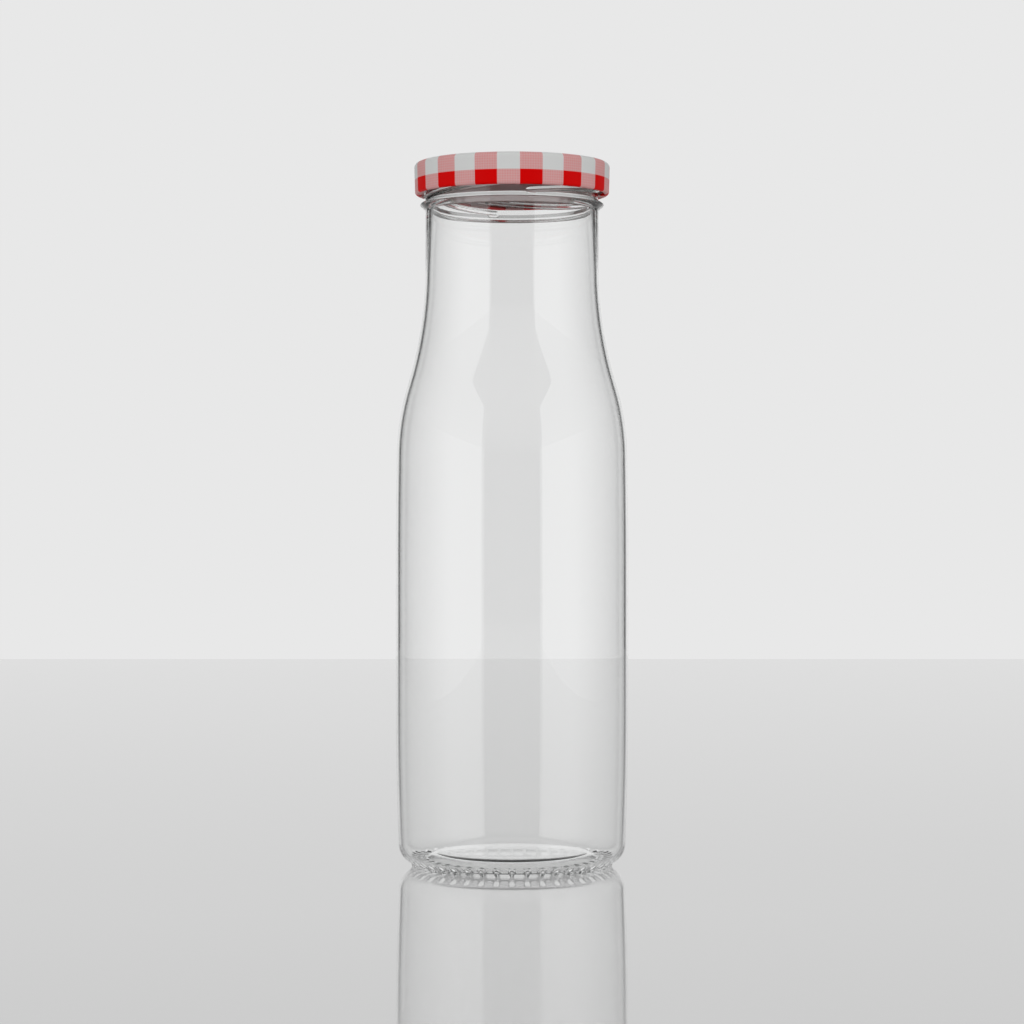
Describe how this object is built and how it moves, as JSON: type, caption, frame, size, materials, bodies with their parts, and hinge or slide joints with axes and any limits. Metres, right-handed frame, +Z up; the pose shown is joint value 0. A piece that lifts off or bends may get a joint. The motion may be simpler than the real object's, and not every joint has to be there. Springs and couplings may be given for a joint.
{
  "type": "wide-mouth glass bottle with twist-off lid",
  "caption": "Clear wide-mouth milk bottle, half-litre size, with a sloping shoulder and a red and white checked tinplate lid that unscrews.",
  "frame": {"origin": "centre of the base, on the plane the bottle stands on", "axes": "+Z up along the bottle's axis, front towards -Y; lid closed at rest"},
  "size_m": [0.0672, 0.0672, 0.2035],
  "materials": {
    "clear_glass": "clear flint glass, smooth fire-polished surface",
    "printed_tinplate": "tinplate with red and white gingham print under clear gloss lacquer",
    "sealing_compound": "off-white moulded sealing compound, soft satin"
  },
  "bodies": {
    "bottle": {"glass_bottle": "clear_glass"},
    "seal": {"sealing_ring": "sealing_compound"},
    "lid": {"lid_shell": "printed_tinplate"}
  },
  "joints": [
    {"name": "lid_rise", "type": "slide", "parent": "bottle", "child": "seal", "axis": [0, 0, 1], "range_m": [0, 0.013]},
    {"name": "lid_turn", "type": "hinge", "parent": "seal", "child": "lid", "pos_m": [0, 0, 0.2], "axis": [0, 0, 1], "range_deg": [0, 360]}
  ],
  "couplings": [
    {"joint": "lid_rise", "follows": "lid_turn", "m_per_rad": 0.002069}
  ]
}
